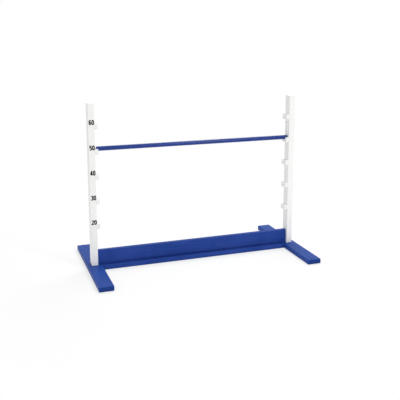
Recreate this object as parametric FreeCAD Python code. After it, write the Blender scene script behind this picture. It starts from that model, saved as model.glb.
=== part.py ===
import FreeCAD, Part
import os

# A wooden jump stand for children: two feet joined by a low rail, two posts with five
# cradles each, and a round crossbar that lies loose in one pair of cradles.
# Millimetres. +X runs from the left post to the right one, -Y is the front, +Z is up.
# The origin is on the floor, midway between the posts.

# Posts
clear_width = 838.0  # between the inner faces of the posts
post_head_height = 72.0  # from the highest level to a post's top
post_width = 25.0  # along the crossbar
post_depth = 40.0  # front to back
post_edge_radius = 1.5
post_top_chamfer = 1.2

# Feet
foot_length = 500.0
foot_width = 58.0
foot_thickness = 20.0
board_edge_radius = 3.0  # the same router bit eases the feet, the base and the rail
board_end_chamfer = 2.0  # round the end grain of a foot

# Base board between the feet, and the rail that stands on it
base_width = 58.0
rail_height = 58.0
rail_thickness = 20.0

# Crossbar
bar_diameter = 18.0
bar_end_play = 4.0  # at each end, when the bar is centred
bar_shift = 3.3  # the bar lies this far to the right of the centre
bar_end_chamfer = 1.2

# Levels: the height of the crossbar's top above the floor
lowest_level = 200.0
level_spacing = 100.0
level_names = ("20", "30", "40", "50", "60")
bar_level_name = "50"

# Cradles
cradle_reach = 13.0  # from the post's inner face
cradle_floor = 11.5  # wood left under the half-round groove
groove_play = 0.6  # the groove's radius over the bar's radius
bar_seat_gap = 0.3  # under the resting bar
cradle_heel_radius = 5.0  # the lower front and back edges
cradle_edge_chamfer = 0.7

# Wood screws, driven from below
screw_length = 60.0
screw_shank_diameter = 5.0
screw_head_diameter = 10.0
screw_tip_length = 6.0
screw_sink = 0.6  # the head lies this far below the wood
recess_span = 5.2
recess_slot = 1.2
recess_depth = 2.0
post_screw_spacing = 22.0
rail_screw_spacing = 280.0
rail_screw_count = 3

# Dowels
board_dowel_diameter = 8.0
board_dowel_wall = 4.0  # wood left behind a dowel hole in a post
rail_dowel_reach = 20.0  # into the rail
rail_dowel_spacing = 28.0
base_dowel_reach = 20.0  # into the base, and as far into the foot
base_dowel_spacing = 32.0
cradle_dowel_diameter = 6.0
cradle_dowel_wall = 3.0  # wood left between the hole and the cradle's end
cradle_dowel_reach = 14.0  # into the post

# Fits in the wood
hole_gap = 0.1  # round every dowel and screw
hole_end_gap = 0.8  # past the end of every dowel and screw

# Picking edges
same_place = 1e-6  # two places closer than this are one

# Derived places
left = -1
right = 1
stand_height = lowest_level + (len(level_names) - 1) * level_spacing + post_head_height
post_inner = clear_width / 2
post_centre = post_inner + post_width / 2
base_half_length = post_centre - foot_width / 2
rail_bottom = foot_thickness
rail_centre_z = rail_bottom + rail_height / 2
bar_radius = bar_diameter / 2
groove_radius = bar_radius + groove_play
bar_length = clear_width - 2 * bar_end_play
post_dowel_depth = post_width - board_dowel_wall - hole_end_gap
cradle_dowel_depth = cradle_reach - cradle_dowel_wall - hole_end_gap
cradle_dowel_offset = (groove_radius + post_depth / 2) / 2
x_axis = FreeCAD.Vector(1, 0, 0)
y_axis = FreeCAD.Vector(0, 1, 0)
z_axis = FreeCAD.Vector(0, 0, 1)
origin = FreeCAD.Vector(0, 0, 0)


def box(x, y, z):
    """A block from three (low, high) pairs."""
    corner = FreeCAD.Vector(x[0], y[0], z[0])
    return Part.makeBox(x[1] - x[0], y[1] - y[0], z[1] - z[0], corner)


def edges_along(shape, axis):
    """The straight edges that run along one axis."""
    chosen = []
    for edge in shape.Edges:
        run = edge.Vertexes[-1].Point - edge.Vertexes[0].Point
        along = abs(run.dot(axis))
        if along > same_place and run.Length - along < same_place:
            chosen.append(edge)
    return chosen


def edges_across(shape, axis, place):
    """The edges that lie in the one plane square to an axis at this place."""
    chosen = []
    for edge in shape.Edges:
        room = edge.BoundBox
        low = FreeCAD.Vector(room.XMin, room.YMin, room.ZMin).dot(axis)
        high = FreeCAD.Vector(room.XMax, room.YMax, room.ZMax).dot(axis)
        if abs(low - place) < same_place and abs(high - place) < same_place:
            chosen.append(edge)
    return chosen


def drill(shape, cutters):
    """Takes every cutter out of the shape."""
    for cutter in cutters:
        shape = shape.cut(cutter)
    return shape


def rod_along_x(radius, x_low, x_high, y, z):
    """A round rod between two x places."""
    start = FreeCAD.Vector(x_low, y, z)
    return Part.makeCylinder(radius, x_high - x_low, start, x_axis)


def dowel(diameter, joint_x, side, reach_in, reach_out, y, z, as_hole=False):
    """A dowel across a joint plane, or the hole that it sits in.

    reach_in runs towards the middle of the stand and reach_out away from it.
    """
    radius = diameter / 2 + (hole_gap if as_hole else 0)
    end = hole_end_gap if as_hole else 0
    inner = side * (joint_x - reach_in - end)
    outer = side * (joint_x + reach_out + end)
    return rod_along_x(radius, min(inner, outer), max(inner, outer), y, z)


def wood_screw(x, y, as_hole=False):
    """A countersunk screw pointing up from the underside, or the hole drilled for it."""
    grow = hole_gap if as_hole else 0
    shank = screw_shank_diameter / 2 + grow
    head = screw_head_diameter / 2 + grow
    cone_top = screw_sink + head - shank
    tip = screw_sink + screw_length
    if as_hole:
        mouth = head + screw_sink  # the countersink runs out to the wood's face
        end = tip + hole_end_gap
        outline = [(0, 0), (mouth, 0), (shank, cone_top), (shank, end), (0, end)]
    else:
        shoulder = tip - screw_tip_length
        outline = [(0, screw_sink), (head, screw_sink), (shank, cone_top), (shank, shoulder), (0, tip)]
    points = [FreeCAD.Vector(r, 0, z) for r, z in outline]
    face = Part.Face(Part.makePolygon(points + points[:1]))
    screw = face.revolve(origin, z_axis, 360)
    if not as_hole:
        screw = drill(screw, cross_recess())
    screw.translate(FreeCAD.Vector(x, y, 0))
    return screw


def cross_recess():
    """The two crossed slots for the driver, in a screw that stands on the axis."""
    long_way = (-recess_span / 2, recess_span / 2)
    short_way = (-recess_slot / 2, recess_slot / 2)
    height = (0, screw_sink + recess_depth)
    return [box(long_way, short_way, height), box(short_way, long_way, height)]


def post_screw_places(side):
    """Two screws in line, front to back, under a post."""
    return [(side * post_centre, y) for y in (-post_screw_spacing / 2, post_screw_spacing / 2)]


def rail_screw_places():
    """Screws evenly spaced along the base."""
    first = -rail_screw_spacing * (rail_screw_count - 1) / 2
    return [(first + i * rail_screw_spacing, 0) for i in range(rail_screw_count)]


def rail_dowels(side, as_hole=False):
    """Two dowels one above the other, from the rail's end into the post."""
    made = []
    for z in (rail_centre_z - rail_dowel_spacing / 2, rail_centre_z + rail_dowel_spacing / 2):
        reach = (rail_dowel_reach, post_dowel_depth)
        made.append(dowel(board_dowel_diameter, post_inner, side, *reach, 0, z, as_hole))
    return made


def base_dowels(side, as_hole=False):
    """Two dowels side by side, from the base board's end into the foot."""
    made = []
    for y in (-base_dowel_spacing / 2, base_dowel_spacing / 2):
        reach = (base_dowel_reach, base_dowel_reach)
        z = foot_thickness / 2
        made.append(dowel(board_dowel_diameter, base_half_length, side, *reach, y, z, as_hole))
    return made


def level_height(index):
    """The top of a bar that lies at this level."""
    return lowest_level + index * level_spacing


def bar_axis_height(index):
    return level_height(index) - bar_radius


def cradle_bounds(index):
    """The underside and the lip tops of a cradle."""
    groove_bottom = bar_axis_height(index) - bar_radius - bar_seat_gap
    return groove_bottom - cradle_floor, groove_bottom + groove_radius


def cradle_dowels(side, index, as_hole=False):
    """Two dowels, one in each lip, that pin a cradle to its post."""
    low, high = cradle_bounds(index)
    made = []
    for y in (-cradle_dowel_offset, cradle_dowel_offset):
        reach = (cradle_dowel_depth, cradle_dowel_reach)
        z = (low + high) / 2
        made.append(dowel(cradle_dowel_diameter, post_inner, side, *reach, y, z, as_hole))
    return made


def make_foot(side):
    """A flat board, eased all round, that a post stands on."""
    x_low = side * post_centre - foot_width / 2
    half = foot_length / 2
    foot = box((x_low, x_low + foot_width), (-half, half), (0, foot_thickness))
    foot = foot.makeFillet(board_edge_radius, edges_along(foot, y_axis))
    ends = edges_across(foot, y_axis, -half) + edges_across(foot, y_axis, half)
    foot = foot.makeChamfer(board_end_chamfer, ends)
    foot = drill(foot, [wood_screw(x, y, as_hole=True) for x, y in post_screw_places(side)])
    return drill(foot, base_dowels(side, as_hole=True))


def make_base():
    """The flat board between the feet, square at its ends."""
    half = base_width / 2
    base = box((-base_half_length, base_half_length), (-half, half), (0, foot_thickness))
    base = base.makeFillet(board_edge_radius, edges_along(base, x_axis))
    base = drill(base, [wood_screw(x, y, as_hole=True) for x, y in rail_screw_places()])
    return drill(base, base_dowels(left, as_hole=True) + base_dowels(right, as_hole=True))


def make_rail():
    """The board on edge that joins the posts above the base."""
    half = rail_thickness / 2
    rail = box((-post_inner, post_inner), (-half, half), (rail_bottom, rail_bottom + rail_height))
    rail = rail.makeFillet(board_edge_radius, edges_along(rail, x_axis))
    rail = drill(rail, [wood_screw(x, y, as_hole=True) for x, y in rail_screw_places()])
    return drill(rail, rail_dowels(left, as_hole=True) + rail_dowels(right, as_hole=True))


def make_post(side):
    """An upright with eased edges, square where it stands on the foot."""
    inner, outer = side * post_inner, side * (post_inner + post_width)
    half = post_depth / 2
    post = box((min(inner, outer), max(inner, outer)), (-half, half), (foot_thickness, stand_height))
    post = post.makeFillet(post_edge_radius, edges_along(post, z_axis))
    post = post.makeChamfer(post_top_chamfer, edges_across(post, z_axis, stand_height))
    post = drill(post, [wood_screw(x, y, as_hole=True) for x, y in post_screw_places(side)])
    post = drill(post, rail_dowels(side, as_hole=True))
    for index in range(len(level_names)):
        post = drill(post, cradle_dowels(side, index, as_hole=True))
    return post


def cradle_outline(index):
    """The end view of a cradle: rounded heels below, and a half-round groove on top."""
    low, high = cradle_bounds(index)
    half = post_depth / 2
    heel = cradle_heel_radius
    bend = heel * (1 - 0.5**0.5)  # how far a quarter circle's middle lies inside its corner

    def point(y, z):
        return FreeCAD.Vector(post_inner, y, z)

    def line(a, b):
        return Part.LineSegment(point(*a), point(*b)).toShape()

    def arc(a, middle, b):
        return Part.Arc(point(*a), point(*middle), point(*b)).toShape()

    edges = [
        line((-half + heel, low), (half - heel, low)),
        arc((half - heel, low), (half - bend, low + bend), (half, low + heel)),
        line((half, low + heel), (half, high)),
        line((half, high), (groove_radius, high)),
        arc((groove_radius, high), (0, high - groove_radius), (-groove_radius, high)),
        line((-groove_radius, high), (-half, high)),
        line((-half, high), (-half, low + heel)),
        arc((-half, low + heel), (-half + bend, low + bend), (-half + heel, low)),
    ]
    return Part.Face(Part.Wire(edges))


def make_cradle(side, index):
    """A block against the post's inner face, with a groove for the bar and a lip each side of it."""
    lip_top = cradle_bounds(index)[1]
    cradle = cradle_outline(index).extrude(-x_axis * cradle_reach)
    free_end = edges_across(cradle, x_axis, post_inner - cradle_reach)
    lips = [e for e in edges_along(cradle, x_axis) if abs(e.BoundBox.ZMin - lip_top) < same_place]
    cradle = cradle.makeChamfer(cradle_edge_chamfer, free_end + lips)
    cradle = drill(cradle, cradle_dowels(right, index, as_hole=True))
    if side == left:
        cradle = cradle.mirror(origin, x_axis)
    return cradle


def make_crossbar():
    """A round bar with softened ends, lying in one pair of cradles."""
    z = bar_axis_height(level_names.index(bar_level_name))
    low, high = bar_shift - bar_length / 2, bar_shift + bar_length / 2
    bar = rod_along_x(bar_radius, low, high, 0, z)
    rims = edges_across(bar, x_axis, low) + edges_across(bar, x_axis, high)
    return bar.makeChamfer(bar_end_chamfer, rims)


def make_screws(places):
    return Part.makeCompound([wood_screw(x, y) for x, y in places])


def all_cradle_dowels(side):
    made = []
    for index in range(len(level_names)):
        made += cradle_dowels(side, index)
    return Part.makeCompound(made)


def build():
    """Every node's name and shape."""
    nodes = {
        "base_board": make_base(),
        "rail": make_rail(),
        "rail_screws": make_screws(rail_screw_places()),
        "crossbar": make_crossbar(),
    }
    for side, word in ((left, "left"), (right, "right")):
        nodes[word + "_foot"] = make_foot(side)
        nodes[word + "_post"] = make_post(side)
        nodes[word + "_post_screws"] = make_screws(post_screw_places(side))
        nodes[word + "_rail_dowels"] = Part.makeCompound(rail_dowels(side))
        nodes[word + "_base_dowels"] = Part.makeCompound(base_dowels(side))
        nodes[word + "_cradle_dowels"] = all_cradle_dowels(side)
        for index, name in enumerate(level_names):
            nodes[word + "_cradle_" + name] = make_cradle(side, index)
    return nodes


os.makedirs("parts", exist_ok=True)
for node_name, shape in build().items():
    shape.exportStep("parts/" + node_name + ".step")
    state = "valid" if shape.isValid() else "NOT VALID"
    print(node_name, len(shape.Solids), "solid(s)", round(shape.Volume), "mm3", state)
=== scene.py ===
import bmesh
import bpy
import math
from mathutils import Matrix, Vector


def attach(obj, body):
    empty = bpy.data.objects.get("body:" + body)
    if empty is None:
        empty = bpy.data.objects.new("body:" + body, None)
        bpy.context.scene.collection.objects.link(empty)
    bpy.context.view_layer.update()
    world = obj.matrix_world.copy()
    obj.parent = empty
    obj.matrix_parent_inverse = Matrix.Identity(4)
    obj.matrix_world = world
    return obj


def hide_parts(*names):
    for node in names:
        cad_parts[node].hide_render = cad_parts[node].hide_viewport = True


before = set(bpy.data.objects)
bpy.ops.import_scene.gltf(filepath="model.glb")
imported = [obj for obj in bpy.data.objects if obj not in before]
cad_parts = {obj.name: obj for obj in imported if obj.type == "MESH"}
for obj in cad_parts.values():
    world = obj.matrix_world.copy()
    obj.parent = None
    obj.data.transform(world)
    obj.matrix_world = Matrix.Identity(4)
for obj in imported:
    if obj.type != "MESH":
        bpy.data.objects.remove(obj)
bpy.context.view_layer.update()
scene = bpy.context.scene
print("frame loaded:", len(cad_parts), "nodes")

mm = 0.001
tiny = 0.01 * mm  # nearer than this is the same place

# camera: the photograph's viewing angle, from the left and above
cameraSettings = {
    "place": (-0.8696, -2.5268, 0.9704),
    "turnRight": 19.401,  # degrees from straight ahead
    "tiltDown": 9.947,
    "lens": 59.27,
    "sensor": 36.0,
    "shiftUp": -0.15,
    "clip": (0.05, 300),
}


def makeCamera(s):
    data = bpy.data.cameras.new("camera")
    data.lens = s["lens"]
    data.sensor_width = s["sensor"]
    data.shift_y = s["shiftUp"]
    data.clip_start, data.clip_end = s["clip"]
    camera = bpy.data.objects.new("camera", data)
    scene.collection.objects.link(camera)
    turn = Matrix.Rotation(math.radians(-s["turnRight"]), 4, "Z")
    tilt = Matrix.Rotation(math.radians(90 - s["tiltDown"]), 4, "X")
    camera.matrix_world = Matrix.Translation(Vector(s["place"])) @ turn @ tilt
    scene.camera = camera


makeCamera(cameraSettings)
print("camera set")


# helpers for node trees
def addNode(tree, kind, x=0, y=0, **values):
    node = tree.nodes.new(kind)
    node.location = (x, y)
    for key, value in values.items():
        setattr(node, key, value)
    return node


def join(tree, fromSocket, toSocket):
    tree.links.new(fromSocket, toSocket)


def doMath(tree, operation, first, second=None, third=None):
    node = addNode(tree, "ShaderNodeMath", operation=operation)
    for place, value in enumerate((first, second, third)):
        if value is None:
            continue
        if isinstance(value, (int, float)):
            node.inputs[place].default_value = value
        else:
            join(tree, value, node.inputs[place])
    return node.outputs[0]


def addNoise(tree, vector, place, scale, detail, roughness=0.5, distortion=0.0):
    noise = addNode(tree, "ShaderNodeTexNoise", *place)
    noise.inputs["Scale"].default_value = scale
    noise.inputs["Detail"].default_value = detail
    noise.inputs["Roughness"].default_value = roughness
    noise.inputs["Distortion"].default_value = distortion
    join(tree, vector, noise.inputs["Vector"])
    return noise.outputs["Fac"]


def addRange(tree, value, place, fromRange=(0, 1), toRange=(0, 1), **values):
    mapped = addNode(tree, "ShaderNodeMapRange", *place, **values)
    for label, (low, high) in (("From", fromRange), ("To", toRange)):
        mapped.inputs[label + " Min"].default_value = low
        mapped.inputs[label + " Max"].default_value = high
    join(tree, value, mapped.inputs["Value"])
    return mapped.outputs["Result"]


def addTint(tree, factor, place, first, second, **values):
    tint = addNode(tree, "ShaderNodeMix", *place, data_type="RGBA", **values)
    join(tree, factor, tint.inputs["Factor"])
    for socket, colour in ((tint.inputs[6], first), (tint.inputs[7], second)):
        if isinstance(colour, tuple):
            socket.default_value = colour
        else:
            join(tree, colour, socket)
    return tint.outputs[2]


def addBump(tree, height, place, strength, distance):
    bump = addNode(tree, "ShaderNodeBump", *place)
    bump.inputs["Strength"].default_value = strength
    bump.inputs["Distance"].default_value = distance
    join(tree, height, bump.inputs["Height"])
    return bump


def newMaterial(name):
    material = bpy.data.materials.new(name)
    material.use_nodes = True
    tree = material.node_tree
    tree.nodes.clear()
    shader = addNode(tree, "ShaderNodeBsdfPrincipled", 400, 0)
    output = addNode(tree, "ShaderNodeOutputMaterial", 700, 0)
    join(tree, shader.outputs["BSDF"], output.inputs["Surface"])
    return material, tree, shader


# enamel over planed wood: the grain still shows as faint ridges along the board
blueEnamel = {
    "colour": (0.0250, 0.063, 0.302, 1),
    "deepColour": (0.0150, 0.048, 0.252, 1),
    "roughness": (0.34, 0.44),
    "specular": 0.05,
    "grainDepth": 0.10,
    "orangePeel": 0.05,
    "endGrainAndShade": 0.70,  # end grain soaks up paint and dries darker; this darkening also paints shade onto the end faces
}
litFootEnamel = dict(blueEnamel)  # the same blue a shade lighter on the feet: painted light standing in for the light on their top faces
litFootEnamel["colour"] = (0.0235, 0.072, 0.330, 1)
litFootEnamel["deepColour"] = (0.0140, 0.055, 0.277, 1)
barEnamel = dict(blueEnamel)
barEnamel["colour"] = (0.0165, 0.047, 0.265, 1)
barEnamel["deepColour"] = (0.0095, 0.036, 0.218, 1)
barEnamel["roughness"] = (0.20, 0.28)  # turned smoother, so glossier
barEnamel["specular"] = 0.26
whiteEnamel = {
    "colour": (0.915, 0.915, 0.905, 1),
    "deepColour": (0.885, 0.885, 0.872, 1),
    "roughness": (0.38, 0.48),
    "specular": 0.35,
    "grainDepth": 0.08,
    "orangePeel": 0.04,
    "endGrainAndShade": 0.98,
}
paintPattern = {
    "stretch": {"x": (2.2, 60, 60), "y": (60, 2.2, 60), "z": (60, 60, 2.2)},  # along the board
    "endFacing": {"x": (1, 0, 0), "y": (0, 1, 0), "z": (0, 0, 1)},
    "endStart": (0.7, 0.95),
    "grain": {"scale": 4.0, "detail": 5.0, "roughness": 0.55, "distortion": 0.6},
    "peel": {"scale": 420.0, "detail": 2.0},  # the film's slight orange peel
    "cloud": {"scale": 9.0, "detail": 4.0},  # thicker and thinner paint
    "blotch": (0.40, 0.60),
    "sheen": (0.3, 0.7),
    "ridgeHeight": 0.4 * mm,
    "peelHeight": 0.1 * mm,
}


def makeEnamel(name, s, axis):
    p = paintPattern
    material, tree, shader = newMaterial(name)
    coords = addNode(tree, "ShaderNodeTexCoord", -1200, 0)
    stretch = addNode(tree, "ShaderNodeMapping", -1000, 0)
    stretch.inputs["Scale"].default_value = p["stretch"][axis]
    join(tree, coords.outputs["Object"], stretch.inputs["Vector"])
    grain = addNoise(tree, stretch.outputs["Vector"], (-760, 120), **p["grain"])
    peel = addNoise(tree, coords.outputs["Object"], (-760, -160), **p["peel"])
    cloud = addNoise(tree, coords.outputs["Object"], (-760, -400), **p["cloud"])

    # the colour follows the grain and the paint's thickness alike
    both = doMath(tree, "MULTIPLY_ADD", grain, 0.5, doMath(tree, "MULTIPLY", cloud, 0.5))
    blotch = addRange(tree, both, (-340, 420), p["blotch"], interpolation_type="SMOOTHSTEP")
    tint = addTint(tree, blotch, (-200, 260), s["deepColour"], s["colour"])

    # faces across the grain get darker: partly end grain, partly painted shade on the ends
    facing = addNode(tree, "ShaderNodeVectorMath", -760, 620, operation="DOT_PRODUCT")
    facing.inputs[1].default_value = p["endFacing"][axis]
    join(tree, coords.outputs["Normal"], facing.inputs[0])
    across = doMath(tree, "ABSOLUTE", facing.outputs["Value"])
    onEnd = addRange(tree, across, (-380, 620), p["endStart"])
    endTint = (s["endGrainAndShade"], s["endGrainAndShade"], s["endGrainAndShade"], 1)
    colour = addTint(tree, onEnd, (0, 420), tint, endTint, blend_type="MULTIPLY")
    join(tree, colour, shader.inputs["Base Color"])

    rough = addRange(tree, cloud, (-200, -100), p["sheen"], s["roughness"])
    join(tree, rough, shader.inputs["Roughness"])
    ridges = addBump(tree, grain, (0, -260), s["grainDepth"], p["ridgeHeight"])
    skin = addBump(tree, peel, (200, -260), s["orangePeel"], p["peelHeight"])
    join(tree, ridges.outputs["Normal"], skin.inputs["Normal"])
    join(tree, skin.outputs["Normal"], shader.inputs["Normal"])
    shader.inputs["Specular IOR Level"].default_value = s["specular"]
    return material


enamels = {
    "blueX": makeEnamel("blueEnamelAlongX", blueEnamel, "x"),
    "blueY": makeEnamel("blueEnamelAlongY", litFootEnamel, "y"),
    "bar": makeEnamel("barEnamel", barEnamel, "x"),
    "whiteZ": makeEnamel("whiteEnamelAlongZ", whiteEnamel, "z"),
    "whiteY": makeEnamel("whiteEnamelAlongY", whiteEnamel, "y"),
}


# bare beech for the dowels
beechSettings = {
    "light": (0.60, 0.40, 0.22, 1),
    "dark": (0.42, 0.25, 0.12, 1),
    "ramp": (0.35, 0.65),
    "roughness": 0.62,
    "stretch": (20, 400, 400),
    "flecks": {"scale": 3.0, "detail": 5.0},
}


def makeBeech(name, s):
    material, tree, shader = newMaterial(name)
    coords = addNode(tree, "ShaderNodeTexCoord", -900, 0)
    stretch = addNode(tree, "ShaderNodeMapping", -700, 0)
    stretch.inputs["Scale"].default_value = s["stretch"]
    join(tree, coords.outputs["Object"], stretch.inputs["Vector"])
    flecks = addNoise(tree, stretch.outputs["Vector"], (-500, 0), **s["flecks"])
    ramp = addNode(tree, "ShaderNodeValToRGB", -260, 0)
    for stop, place, colour in zip(ramp.color_ramp.elements, s["ramp"], (s["dark"], s["light"])):
        stop.position = place
        stop.color = colour
    join(tree, flecks, ramp.inputs["Fac"])
    join(tree, ramp.outputs["Color"], shader.inputs["Base Color"])
    shader.inputs["Roughness"].default_value = s["roughness"]
    return material


# zinc-plated steel for the screws, and a matt black film for the numbers
zincSettings = {
    "dark": (0.45, 0.46, 0.46, 1),
    "light": (0.62, 0.62, 0.60, 1),
    "roughness": (0.28, 0.42),
    "specular": 0.5,
    "metallic": 1.0,
    "mottle": {"scale": 260.0, "detail": 3.0},
}
filmSettings = {
    "dark": (0.006, 0.006, 0.007, 1),
    "light": (0.013, 0.013, 0.014, 1),
    "roughness": (0.42, 0.58),
    "specular": 0.2,
    "metallic": 0.0,
    "mottle": {"scale": 160.0, "detail": 4.0},
}


def makeMottled(name, s):
    material, tree, shader = newMaterial(name)
    coords = addNode(tree, "ShaderNodeTexCoord", -900, 0)
    mottle = addNoise(tree, coords.outputs["Object"], (-600, 0), **s["mottle"])
    tint = addTint(tree, mottle, (-300, 100), s["dark"], s["light"])
    rough = addRange(tree, mottle, (-300, -120), toRange=s["roughness"])
    join(tree, tint, shader.inputs["Base Color"])
    join(tree, rough, shader.inputs["Roughness"])
    shader.inputs["Specular IOR Level"].default_value = s["specular"]
    shader.inputs["Metallic"].default_value = s["metallic"]
    return material


beech = makeBeech("bareBeech", beechSettings)
zinc = makeMottled("zincPlate", zincSettings)
blackFilm = makeMottled("blackFilm", filmSettings)

for nodeName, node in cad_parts.items():
    if "foot" in nodeName:
        chosen = enamels["blueY"]
    elif nodeName in ("base_board", "rail"):
        chosen = enamels["blueX"]
    elif nodeName == "crossbar":
        chosen = enamels["bar"]
    elif "dowels" in nodeName:
        chosen = beech
    elif "screws" in nodeName:
        chosen = zinc
    elif "cradle" in nodeName:
        chosen = enamels["whiteY"]
    else:
        chosen = enamels["whiteZ"]
    node.data.materials.clear()
    node.data.materials.append(chosen)
print("finishes on the CAD pieces")


# helpers for pieces that grow from a node tree
def newTree(name, inputs):
    tree = bpy.data.node_groups.new(name, "GeometryNodeTree")
    face = tree.interface
    for label, (kind, value) in inputs.items():
        socket = face.new_socket(name=label, in_out="INPUT", socket_type="NodeSocket" + kind)
        socket.default_value = value
    face.new_socket(name="Geometry", in_out="OUTPUT", socket_type="NodeSocketGeometry")
    return tree, addNode(tree, "NodeGroupInput", -1400), addNode(tree, "NodeGroupOutput", 1400)


def endTree(tree, geometry, material, output):
    real = addNode(tree, "GeometryNodeRealizeInstances", 1000, 0)
    painted = addNode(tree, "GeometryNodeSetMaterial", 1200, 0)
    painted.inputs["Material"].default_value = material
    join(tree, geometry, real.inputs["Geometry"])
    join(tree, real.outputs["Geometry"], painted.inputs["Geometry"])
    join(tree, painted.outputs["Geometry"], output.inputs["Geometry"])


def growPiece(name, tree, values, skeleton=None):
    startMesh = skeleton or bpy.data.meshes.new(name + "Maker")
    holder = bpy.data.objects.new(name + "Maker", startMesh)
    scene.collection.objects.link(holder)
    grower = holder.modifiers.new("grow", "NODES")
    grower.node_group = tree
    for item in tree.interface.items_tree:
        if item.in_out == "INPUT" and item.name in values:
            grower[item.identifier] = values[item.name]
    graph = bpy.context.evaluated_depsgraph_get()
    mesh = bpy.data.meshes.new_from_object(holder.evaluated_get(graph))
    mesh.name = name
    holder.modifiers.remove(grower)
    bpy.data.objects.remove(holder)
    return placeObject(name, mesh)


def meshFrom(name, shape):
    bmesh.ops.recalc_face_normals(shape, faces=shape.faces)
    mesh = bpy.data.meshes.new(name)
    shape.to_mesh(mesh)
    shape.free()
    return mesh


def placeObject(name, data):
    thing = bpy.data.objects.new(name, data)
    scene.collection.objects.link(thing)
    return thing


def arcPoints(centre, radii, first, last, steps=24):
    turns = [math.radians(first + (last - first) * i / steps) for i in range(steps + 1)]
    return [(centre[0] + radii[0] * math.cos(t), centre[1] + radii[1] * math.sin(t)) for t in turns]


# crossbar: a turned rod with rounded ends, lying in the grooves at 50
barSize = {
    "Length": 830.0 * mm,
    "Radius": 9.0 * mm,
    "End Radius": 1.4 * mm,
    "Middle": Vector((3.3, 0, 491.0)) * mm,
    "Sides": 64,
    "End Rings": 6,
    "endFaceFrom": 0.999,  # a normal this much along the bar is an end face, and stays flat
}


def makeCrossbar(s, material):
    tree, given, output = newTree("turnedRod", {
        "Length": ("Float", s["Length"]), "Radius": ("Float", s["Radius"]),
        "End Radius": ("Float", s["End Radius"]), "Middle": ("Vector", s["Middle"]),
        "Sides": ("Int", s["Sides"]), "End Rings": ("Int", s["End Rings"]),
    })
    halfLength = doMath(tree, "MULTIPLY", given.outputs["Length"], 0.5)
    pointCount = doMath(tree, "MULTIPLY_ADD", given.outputs["End Rings"], 2, 2)
    axis = addNode(tree, "GeometryNodeCurvePrimitiveLine", -900, 200)
    axis.inputs["End"].default_value = (1, 0, 0)
    divided = addNode(tree, "GeometryNodeResampleCurve", -700, 200)
    join(tree, axis.outputs["Curve"], divided.inputs["Curve"])
    join(tree, pointCount, divided.inputs["Count"])

    # each point's ring number, counted from the nearer end, turns through a quarter circle
    index = addNode(tree, "GeometryNodeInputIndex", -1200, -200).outputs["Index"]
    last = doMath(tree, "SUBTRACT", pointCount, 1)
    fromEnd = doMath(tree, "MINIMUM", index, doMath(tree, "SUBTRACT", last, index))
    share = doMath(tree, "DIVIDE", fromEnd, given.outputs["End Rings"])
    angle = doMath(tree, "MULTIPLY", share, math.pi / 2)
    inset = doMath(tree, "SUBTRACT", 1, doMath(tree, "COSINE", angle))
    inset = doMath(tree, "MULTIPLY", inset, given.outputs["End Radius"])
    outward = doMath(tree, "SUBTRACT", halfLength, inset)
    fromMiddle = doMath(tree, "SUBTRACT", index, doMath(tree, "MULTIPLY", last, 0.5))
    towards = doMath(tree, "SIGN", fromMiddle)
    along = doMath(tree, "MULTIPLY", outward, towards)
    drop = doMath(tree, "SUBTRACT", 1, doMath(tree, "SINE", angle))
    thick = doMath(tree, "SUBTRACT", given.outputs["Radius"],
                   doMath(tree, "MULTIPLY", drop, given.outputs["End Radius"]))

    place = addNode(tree, "ShaderNodeCombineXYZ", -500, 0)
    join(tree, along, place.inputs["X"])
    placed = addNode(tree, "GeometryNodeSetPosition", -300, 200)
    join(tree, divided.outputs["Curve"], placed.inputs["Geometry"])
    join(tree, place.outputs["Vector"], placed.inputs["Position"])
    ring = addNode(tree, "GeometryNodeCurvePrimitiveCircle", -300, -100)
    ring.inputs["Radius"].default_value = 1.0
    join(tree, given.outputs["Sides"], ring.inputs["Resolution"])
    swept = addNode(tree, "GeometryNodeCurveToMesh", 0, 200)
    swept.inputs["Fill Caps"].default_value = True
    join(tree, placed.outputs["Geometry"], swept.inputs["Curve"])
    join(tree, ring.outputs["Curve"], swept.inputs["Profile Curve"])
    join(tree, thick, swept.inputs["Scale"])
    moved = addNode(tree, "GeometryNodeTransform", 250, 200)
    join(tree, swept.outputs["Mesh"], moved.inputs["Geometry"])
    join(tree, given.outputs["Middle"], moved.inputs["Translation"])
    normal = addNode(tree, "GeometryNodeInputNormal", 250, -100)
    split = addNode(tree, "ShaderNodeSeparateXYZ", 400, -100)
    join(tree, normal.outputs["Normal"], split.inputs["Vector"])
    alongBar = doMath(tree, "ABSOLUTE", split.outputs["X"])
    notEndFace = doMath(tree, "LESS_THAN", alongBar, s["endFaceFrom"])
    smooth = addNode(tree, "GeometryNodeSetShadeSmooth", 700, 200)
    join(tree, moved.outputs["Geometry"], smooth.inputs["Geometry"])
    join(tree, notEndFace, smooth.inputs["Selection"])
    endTree(tree, smooth.outputs["Geometry"], material, output)
    bar = growPiece("crossbarRod", tree, {"Length": s["Length"], "Radius": s["Radius"]})
    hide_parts("crossbar")
    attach(bar, "crossbar")


makeCrossbar(barSize, enamels["bar"])
print("crossbar turned")


# cradles: one block with softened edges, repeated up both posts
cradleSize = {
    "reach": 13.0 * mm,
    "depth": 40.0 * mm,
    "floor": 11.5 * mm,
    "height": 21.1 * mm,
    "grooveRadius": 9.6 * mm,
    "heelRadius": 5.0 * mm,
    "softEdge": 0.7 * mm,
    "heelSteps": 8,
    "grooveSteps": 28,
    "edgeSegments": 3,
    "levels": (20, 30, 40, 50, 60),
    "lowestUnderside": 170.2 * mm,
    "levelStep": 100.0 * mm,
    "postFace": 419.0 * mm,
}


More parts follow.
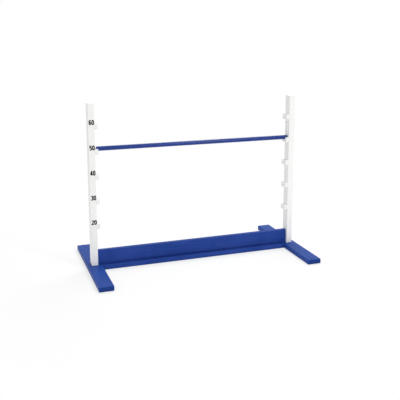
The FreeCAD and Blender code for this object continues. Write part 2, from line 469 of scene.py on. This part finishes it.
def cradleBlock(s):
    half, heel, groove = s["depth"] / 2, s["heelRadius"], s["grooveRadius"]
    heels, grooves = (heel, heel), (groove, groove)
    outline = arcPoints((half - heel, heel), heels, -90, 0, s["heelSteps"])
    outline.append((half, s["height"]))
    outline += arcPoints((0, s["floor"] + groove), grooves, 0, -180, s["grooveSteps"])
    outline.append((-half, s["height"]))
    outline += arcPoints((-half + heel, heel), heels, 180, 270, s["heelSteps"])
    shape = bmesh.new()
    count = len(outline)
    near = [shape.verts.new((0, y, z)) for y, z in outline]
    far = [shape.verts.new((s["reach"], y, z)) for y, z in outline]
    shape.faces.new(near)
    shape.faces.new(list(reversed(far)))
    for i in range(count):
        j = (i + 1) % count
        shape.faces.new((near[i], far[i], far[j], near[j]))
    mesh = meshFrom("cradleBlock", shape)

    # the free end and the lips' rims are eased, and the face on the post stays square
    weights = mesh.attributes.new("bevel_weight_edge", "FLOAT", "EDGE")
    sharp = mesh.attributes.new("sharp_edge", "BOOLEAN", "EDGE")
    for edge in mesh.edges:
        a, b = (mesh.vertices[i].co for i in edge.vertices)
        sharp.data[edge.index].value = max(a.x, b.x) < tiny
        onFreeEnd = min(a.x, b.x) > s["reach"] - tiny
        onRim = min(a.z, b.z) > s["height"] - tiny and abs(a.x - b.x) > s["reach"] / 2
        weights.data[edge.index].value = 1.0 if onFreeEnd or onRim else 0.0
    mesh.polygons.foreach_set("use_smooth", [True] * len(mesh.polygons))
    block = placeObject("cradleBlock", mesh)
    soft = block.modifiers.new("softEdges", "BEVEL")
    soft.limit_method = "WEIGHT"
    soft.width = s["softEdge"]
    soft.segments = s["edgeSegments"]
    even = block.modifiers.new("evenNormals", "WEIGHTED_NORMAL")
    even.keep_sharp = True
    return block


def makeCradles(s, material):
    block = cradleBlock(s)
    tree, given, output = newTree("cradleColumns", {
        "Level Count": ("Int", len(s["levels"])),
        "Lowest Underside": ("Float", s["lowestUnderside"]),
        "Level Step": ("Float", s["levelStep"]),
        "Post Face": ("Float", s["postFace"]),
    })
    one = addNode(tree, "GeometryNodeObjectInfo", -600, -300)
    one.inputs["Object"].default_value = block
    rise = addNode(tree, "ShaderNodeCombineXYZ", -900, -100)
    join(tree, given.outputs["Level Step"], rise.inputs["Z"])
    both = addNode(tree, "GeometryNodeJoinGeometry", 400, 0)
    for side, turn in ((-1, 0), (1, math.pi)):
        foot = addNode(tree, "ShaderNodeCombineXYZ", -900, 200 * side)
        join(tree, doMath(tree, "MULTIPLY", given.outputs["Post Face"], side), foot.inputs["X"])
        join(tree, given.outputs["Lowest Underside"], foot.inputs["Z"])
        column = addNode(tree, "GeometryNodeMeshLine", -600, 200 * side)
        join(tree, given.outputs["Level Count"], column.inputs["Count"])
        join(tree, foot.outputs["Vector"], column.inputs["Start Location"])
        join(tree, rise.outputs["Vector"], column.inputs["Offset"])
        stack = addNode(tree, "GeometryNodeInstanceOnPoints", 0, 200 * side)
        stack.inputs["Rotation"].default_value = (0, 0, turn)
        join(tree, column.outputs["Mesh"], stack.inputs["Points"])
        join(tree, one.outputs["Geometry"], stack.inputs["Instance"])
        join(tree, stack.outputs["Instances"], both.inputs["Geometry"])
    endTree(tree, both.outputs["Geometry"], material, output)
    cradles = growPiece("cradles", tree, {"Level Count": len(s["levels"])})
    bpy.data.objects.remove(block)
    sides = ("left", "right")
    names = [side + "_cradle_" + str(level) for side in sides for level in s["levels"]]
    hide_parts(*names)
    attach(cradles, "stand")


makeCradles(cradleSize, enamels["whiteY"])
print("cradles set")


# screws: countersunk heads with a cross recess, and a rolled thread
screwSize = {
    "sink": 0.6 * mm,
    "length": 60.0 * mm,
    "headRadius": 5.0 * mm,
    "headRim": 0.15 * mm,
    "shankRadius": 1.9 * mm,
    "tipLength": 6.0 * mm,
    "recessSpan": 5.2 * mm,
    "recessSlot": 1.2 * mm,
    "recessDepth": 2.0 * mm,
    "recessTaper": (0.55, 0.9),  # share of its span and slot left at the bottom
    "cutterStart": -1.0 * mm,
    "sides": 32,
    "threadRadius": 2.45 * mm,
    "threadRidge": 0.45 * mm,
    "threadSteps": 16,  # to one turn
    "threadCorners": 4,  # a sharp ridge
    "threadTurns": 15.0,
    "threadLength": 40.0 * mm,
    "railCount": 3,
    "railSpacing": 280.0 * mm,
    "postCentre": 431.5 * mm,
    "postSpacing": 22.0 * mm,
    "seed": 4,
}


def screwBody(s):
    low = s["sink"]
    cone = s["headRadius"] - s["shankRadius"]
    top = low + s["length"]
    rim, sides = s["headRim"], s["sides"]
    profile = [(s["headRadius"] - rim, low), (s["headRadius"], low + rim)]
    profile += [(s["shankRadius"], low + cone), (s["shankRadius"], top - s["tipLength"])]
    turns = [2 * math.pi * i / sides for i in range(sides)]
    shape = bmesh.new()
    rings = []
    for radius, z in profile:
        ring = [(radius * math.cos(t), radius * math.sin(t), z) for t in turns]
        rings.append([shape.verts.new(place) for place in ring])
    for lower, upper in zip(rings, rings[1:]):
        for i in range(sides):
            j = (i + 1) % sides
            shape.faces.new((lower[i], lower[j], upper[j], upper[i]))
    point = shape.verts.new((0, 0, top))
    for i in range(sides):
        shape.faces.new((rings[-1][i], rings[-1][(i + 1) % sides], point))
    shape.faces.new(list(reversed(rings[0])))
    return placeObject("screwBody", meshFrom("screwBody", shape))


def crossCutter(s):
    arm, half, high = s["recessSpan"] / 2, s["recessSlot"] / 2, s["sink"] + s["recessDepth"]
    plan = [(arm, half), (half, half), (half, arm)]
    plan += [(-half, arm), (-half, half), (-arm, half)]
    plan += [(-arm, -half), (-half, -half), (-half, -arm)]
    plan += [(half, -arm), (half, -half), (arm, -half)]
    spanLeft, slotLeft = s["recessTaper"]
    shape = bmesh.new()
    low = [shape.verts.new((x, y, s["cutterStart"])) for x, y in plan]
    top = [shape.verts.new((x * spanLeft, y * slotLeft, high)) for x, y in plan]
    count = len(plan)
    for i in range(count):
        j = (i + 1) % count
        shape.faces.new((low[i], low[j], top[j], top[i]))
    shape.faces.new(list(reversed(low)))
    shape.faces.new(top)
    return placeObject("crossCutter", meshFrom("crossCutter", shape))


def makeScrews(s, material):
    body, cutter = screwBody(s), crossCutter(s)
    cut = body.modifiers.new("recess", "BOOLEAN")
    cut.operation = "DIFFERENCE"
    cut.solver = "EXACT"
    cut.object = cutter

    tree, given, output = newTree("screwRows", {
        "Rail Count": ("Int", s["railCount"]),
        "Rail Spacing": ("Float", s["railSpacing"]),
        "Post Centre": ("Float", s["postCentre"]),
        "Post Spacing": ("Float", s["postSpacing"]),
        "Thread Radius": ("Float", s["threadRadius"]),
        "Thread Ridge": ("Float", s["threadRidge"]),
        "Thread Length": ("Float", s["threadLength"]),
        "Thread Turns": ("Float", s["threadTurns"]),
        "Seed": ("Int", s["seed"]),
    })
    # the thread winds up the shank
    helix = addNode(tree, "GeometryNodeCurveSpiral", -900, -500)
    helix.inputs["Resolution"].default_value = s["threadSteps"]
    join(tree, given.outputs["Thread Turns"], helix.inputs["Rotations"])
    ridgeSize = given.outputs["Thread Ridge"]
    rootRadius = doMath(tree, "SUBTRACT", given.outputs["Thread Radius"], ridgeSize)
    join(tree, rootRadius, helix.inputs["Start Radius"])
    join(tree, rootRadius, helix.inputs["End Radius"])
    join(tree, given.outputs["Thread Length"], helix.inputs["Height"])
    ridge = addNode(tree, "GeometryNodeCurvePrimitiveCircle", -900, -800)
    ridge.inputs["Resolution"].default_value = s["threadCorners"]
    join(tree, ridgeSize, ridge.inputs["Radius"])
    thread = addNode(tree, "GeometryNodeCurveToMesh", -600, -500)
    thread.inputs["Fill Caps"].default_value = True
    join(tree, helix.outputs["Curve"], thread.inputs["Curve"])
    join(tree, ridge.outputs["Curve"], thread.inputs["Profile Curve"])
    raised = addNode(tree, "GeometryNodeTransform", -400, -500)
    threadStart = s["sink"] + s["length"] - s["tipLength"] - s["threadLength"]
    raised.inputs["Translation"].default_value = (0, 0, threadStart)
    join(tree, thread.outputs["Mesh"], raised.inputs["Geometry"])
    one = addNode(tree, "GeometryNodeObjectInfo", -600, -250)
    one.inputs["Object"].default_value = body
    screw = addNode(tree, "GeometryNodeJoinGeometry", -200, -350)
    join(tree, one.outputs["Geometry"], screw.inputs["Geometry"])
    join(tree, raised.outputs["Geometry"], screw.inputs["Geometry"])

    # one row along the rail, and one under each post
    places = addNode(tree, "GeometryNodeJoinGeometry", 0, 200)
    railCount, railSpacing = given.outputs["Rail Count"], given.outputs["Rail Spacing"]
    postSpacing = given.outputs["Post Spacing"]
    railSpan = doMath(tree, "MULTIPLY", railSpacing, doMath(tree, "SUBTRACT", railCount, 1))
    rows = [(railCount, doMath(tree, "MULTIPLY", railSpan, -0.5), None, "X", railSpacing)]
    for side in (-1, 1):
        across = doMath(tree, "MULTIPLY", given.outputs["Post Centre"], side)
        front = doMath(tree, "MULTIPLY", postSpacing, -0.5)
        rows.append((2, across, front, "Y", postSpacing))
    for count, across, front, way, spacing in rows:
        start = addNode(tree, "ShaderNodeCombineXYZ")
        join(tree, across, start.inputs["X"])
        if front is not None:
            join(tree, front, start.inputs["Y"])
        step = addNode(tree, "ShaderNodeCombineXYZ")
        join(tree, spacing, step.inputs[way])
        row = addNode(tree, "GeometryNodeMeshLine")
        if isinstance(count, int):
            row.inputs["Count"].default_value = count
        else:
            join(tree, count, row.inputs["Count"])
        join(tree, start.outputs["Vector"], row.inputs["Start Location"])
        join(tree, step.outputs["Vector"], row.inputs["Offset"])
        join(tree, row.outputs["Mesh"], places.inputs["Geometry"])
    turned = addNode(tree, "FunctionNodeRandomValue", 100, -100, data_type="FLOAT_VECTOR")
    turned.inputs[0].default_value = (0, 0, 0)
    turned.inputs[1].default_value = (0, 0, 2 * math.pi)
    join(tree, given.outputs["Seed"], turned.inputs["Seed"])
    driven = addNode(tree, "GeometryNodeInstanceOnPoints", 400, 0)
    join(tree, places.outputs["Geometry"], driven.inputs["Points"])
    join(tree, screw.outputs["Geometry"], driven.inputs["Instance"])
    join(tree, turned.outputs[0], driven.inputs["Rotation"])
    endTree(tree, driven.outputs["Instances"], material, output)
    screws = growPiece("woodScrews", tree, {"Seed": s["seed"]})
    bpy.data.objects.remove(body)
    bpy.data.objects.remove(cutter)
    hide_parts("left_post_screws", "right_post_screws", "rail_screws")
    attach(screws, "stand")


makeScrews(screwSize, zinc)
print("screws driven")


# numbers: a thin film on the left post, each number beside its cradle
numberSize = {
    "labels": ("20", "30", "40", "50", "60"),
    "height": 20.0 * mm,
    "digitWidth": 10.4 * mm,
    "gap": 0.4 * mm,
    "Stroke": 4.3 * mm,
    "Film": 0.08 * mm,
    "middle": -430.6 * mm,
    "postFront": -20.0 * mm,
    "lowestLevel": 200.0 * mm,
    "levelStep": 100.0 * mm,
    "below": 1.7 * mm,  # the digits' middle lies this far under the level
}


# centre lines of a digit's strokes, for half width w, half height h and stroke t
def digitStrokes(digit, w, h, t):
    if digit == "0":
        ring = arcPoints((0, h - w), (w, w), 0, 180) + arcPoints((0, w - h), (w, w), 180, 360)
        return [ring + ring[:1]]
    if digit == "2":
        hook = arcPoints((0, h - w), (w, w), 165, -25) + [(-w + 0.1 * t, -h)]
        return [hook, [(-w - t / 2, -h), (w + t / 4, -h)]]
    if digit == "3":
        upper, lower = (h - 0.1 * t) / 2, (h + 0.1 * t) / 2
        top = arcPoints((0, h - upper), (w, upper), 155, -90)
        return [top + arcPoints((0, -h + lower), (w, lower), 90, -155)[1:]]
    if digit == "4":
        stem, bar = w * 0.45, -h * 0.42
        upright = [(stem, h + t / 2), (stem, -h - t / 2)]
        return [upright, [(stem, h), (-w, bar)], [(-w - t / 2, bar), (w + t / 2, bar)]]
    if digit == "5":
        bowl = arcPoints((0, -h * 0.38), (w, h * 0.62), 146, -148)
        flag, neck = [(-w - 0.4 * t, h), (w + t / 4, h)], -w + 0.1 * t
        return [flag, [(neck, h), (neck, -0.15 * h)], bowl]
    ring = arcPoints((0, -h * 0.40), (w, h * 0.60), 0, 360, 40)
    neck = [(-w, -h * 0.40)] + arcPoints((0, h - 1.15 * w), (w, 1.15 * w), 180, 25)
    return [ring, neck]


def numberSkeleton(s):
    t = s["Stroke"]
    w, h = (s["digitWidth"] - t) / 2, (s["height"] - t) / 2
    points, edges = [], []
    for order, label in enumerate(s["labels"]):
        level = s["lowestLevel"] + order * s["levelStep"] - s["below"]
        for place, digit in enumerate(label):
            across = s["middle"] + (place - 0.5) * (s["digitWidth"] + s["gap"])
            for stroke in digitStrokes(digit, w, h, t):
                first = len(points)
                closed = math.dist(stroke[0], stroke[-1]) < tiny
                if closed:
                    stroke = stroke[:-1]
                depth = s["postFront"] - s["Film"] / 2
                points += [(across + x, depth, level + z) for x, z in stroke]
                edges += [(first + i, first + i + 1) for i in range(len(stroke) - 1)]
                if closed:
                    edges.append((len(points) - 1, first))
    mesh = bpy.data.meshes.new("numberSkeleton")
    mesh.from_pydata(points, edges, [])
    return mesh


def makeNumbers(s, material):
    tree, given, output = newTree("numberStrokes", {
        "Stroke": ("Float", s["Stroke"]),
        "Film": ("Float", s["Film"]),
    })
    face = tree.interface
    skeleton = face.new_socket(name="Skeleton", in_out="INPUT", socket_type="NodeSocketGeometry")
    face.move(skeleton, 0)
    lines = addNode(tree, "GeometryNodeMeshToCurve", -900, 0)
    join(tree, given.outputs["Skeleton"], lines.inputs["Mesh"])
    facing = addNode(tree, "GeometryNodeSetCurveNormal", -600, 0, mode="FREE")
    facing.inputs["Normal"].default_value = (0, -1, 0)
    join(tree, lines.outputs["Curve"], facing.inputs["Curve"])
    flat = addNode(tree, "GeometryNodeCurvePrimitiveQuadrilateral", -600, -300)
    join(tree, given.outputs["Film"], flat.inputs["Width"])
    join(tree, given.outputs["Stroke"], flat.inputs["Height"])
    swept = addNode(tree, "GeometryNodeCurveToMesh", -300, 0)
    swept.inputs["Fill Caps"].default_value = True
    join(tree, facing.outputs["Curve"], swept.inputs["Curve"])
    join(tree, flat.outputs["Curve"], swept.inputs["Profile Curve"])
    # the strokes of a digit overlap, and become one film
    merged = addNode(tree, "GeometryNodeMeshBoolean", 0, 0, operation="UNION", solver="EXACT")
    merged.inputs["Self Intersection"].default_value = True
    join(tree, swept.outputs["Mesh"], merged.inputs["Mesh 2"])
    crisp = addNode(tree, "GeometryNodeSetShadeSmooth", 300, 0)
    crisp.inputs["Shade Smooth"].default_value = False
    join(tree, merged.outputs["Mesh"], crisp.inputs["Geometry"])
    endTree(tree, crisp.outputs["Geometry"], material, output)
    sizes = {"Stroke": s["Stroke"], "Film": s["Film"]}
    numbers = growPiece("levelNumbers", tree, sizes, numberSkeleton(s))
    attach(numbers, "stand")


makeNumbers(numberSize, blackFilm)
print("numbers on the left post")


# floor and light
floorSettings = {
    "size": 160.0,
    "drop": 0.2 * mm,  # just under the feet
    "colour": (0.93, 0.93, 0.93, 1),
    "whiteShare": 0.62,  # of the floor near the stand, so that its shadow still shows there
    "shadowReach": 0.6,  # metres from the middle
    "whiteFrom": 1.25,  # plain white from here on
}
worldLevel = 0.74
lamps = [
    {
        "name": "topLamp",
        "place": (1.0, 1.5, 2.9),
        "aim": (0, 0, 0.2),
        "size": 2.0,
        "power": 42,
    },
    {
        "name": "frontLamp",
        "place": (1.3, -2.9, 2.4),
        "aim": (0, 0, 0.3),
        "size": 1.0,
        "power": 30,
    },
]


# the camera, gloss and glass see the plain white background
def seenPlain(tree):
    rays = addNode(tree, "ShaderNodeLightPath", -700, 0)
    seen = doMath(tree, "MAXIMUM", rays.outputs["Is Camera Ray"], rays.outputs["Is Glossy Ray"])
    return doMath(tree, "MAXIMUM", seen, rays.outputs["Is Transmission Ray"])


def makeFloor(s):
    half = s["size"] / 2
    mesh = bpy.data.meshes.new("floor")
    corners = [(-half, -half), (half, -half), (half, half), (-half, half)]
    mesh.from_pydata([(x, y, -s["drop"]) for x, y in corners], [], [(0, 1, 2, 3)])
    floor = placeObject("floor", mesh)

    material = bpy.data.materials.new("paleFloor")
    material.use_nodes = True
    tree = material.node_tree
    tree.nodes.clear()
    diffuse = addNode(tree, "ShaderNodeBsdfDiffuse", 0, 100)
    diffuse.inputs["Color"].default_value = s["colour"]
    white = addNode(tree, "ShaderNodeEmission", 0, -100)
    white.inputs["Color"].default_value = (1, 1, 1, 1)
    coords = addNode(tree, "ShaderNodeTexCoord", -700, -300)
    distance = addNode(tree, "ShaderNodeVectorMath", -500, -300, operation="LENGTH")
    join(tree, coords.outputs["Object"], distance.inputs[0])
    reach, shares = (s["shadowReach"], s["whiteFrom"]), (s["whiteShare"], 1)
    spread = addRange(tree, distance.outputs["Value"], (-300, -300), reach, shares,
                      interpolation_type="SMOOTHSTEP")
    mix = addNode(tree, "ShaderNodeMixShader", 250, 0)
    join(tree, doMath(tree, "MULTIPLY", seenPlain(tree), spread), mix.inputs["Fac"])
    join(tree, diffuse.outputs["BSDF"], mix.inputs[1])
    join(tree, white.outputs["Emission"], mix.inputs[2])
    output = addNode(tree, "ShaderNodeOutputMaterial", 450, 0)
    join(tree, mix.outputs["Shader"], output.inputs["Surface"])
    mesh.materials.append(material)


def makeWorld(level):
    world = bpy.data.worlds.new("studio")
    scene.world = world
    world.use_nodes = True
    tree = world.node_tree
    tree.nodes.clear()
    strength = addRange(tree, seenPlain(tree), (-150, 0), toRange=(level, 1))
    background = addNode(tree, "ShaderNodeBackground", 50, 0)
    background.inputs["Color"].default_value = (1, 1, 1, 1)
    output = addNode(tree, "ShaderNodeOutputWorld", 250, 0)
    join(tree, strength, background.inputs["Strength"])
    join(tree, background.outputs["Background"], output.inputs["Surface"])


def makeLamp(s):
    data = bpy.data.lights.new(s["name"], "AREA")
    data.shape = "DISK"
    data.size = s["size"]
    data.energy = s["power"]
    lamp = placeObject(s["name"], data)
    aim = Vector(s["aim"]) - Vector(s["place"])
    turn = aim.to_track_quat("-Z", "Y").to_matrix().to_4x4()
    lamp.matrix_world = Matrix.Translation(Vector(s["place"])) @ turn


makeFloor(floorSettings)
makeWorld(worldLevel)
for lampSettings in lamps:
    makeLamp(lampSettings)
scene.view_settings.view_transform = "Standard"
print("floor and lamps set")
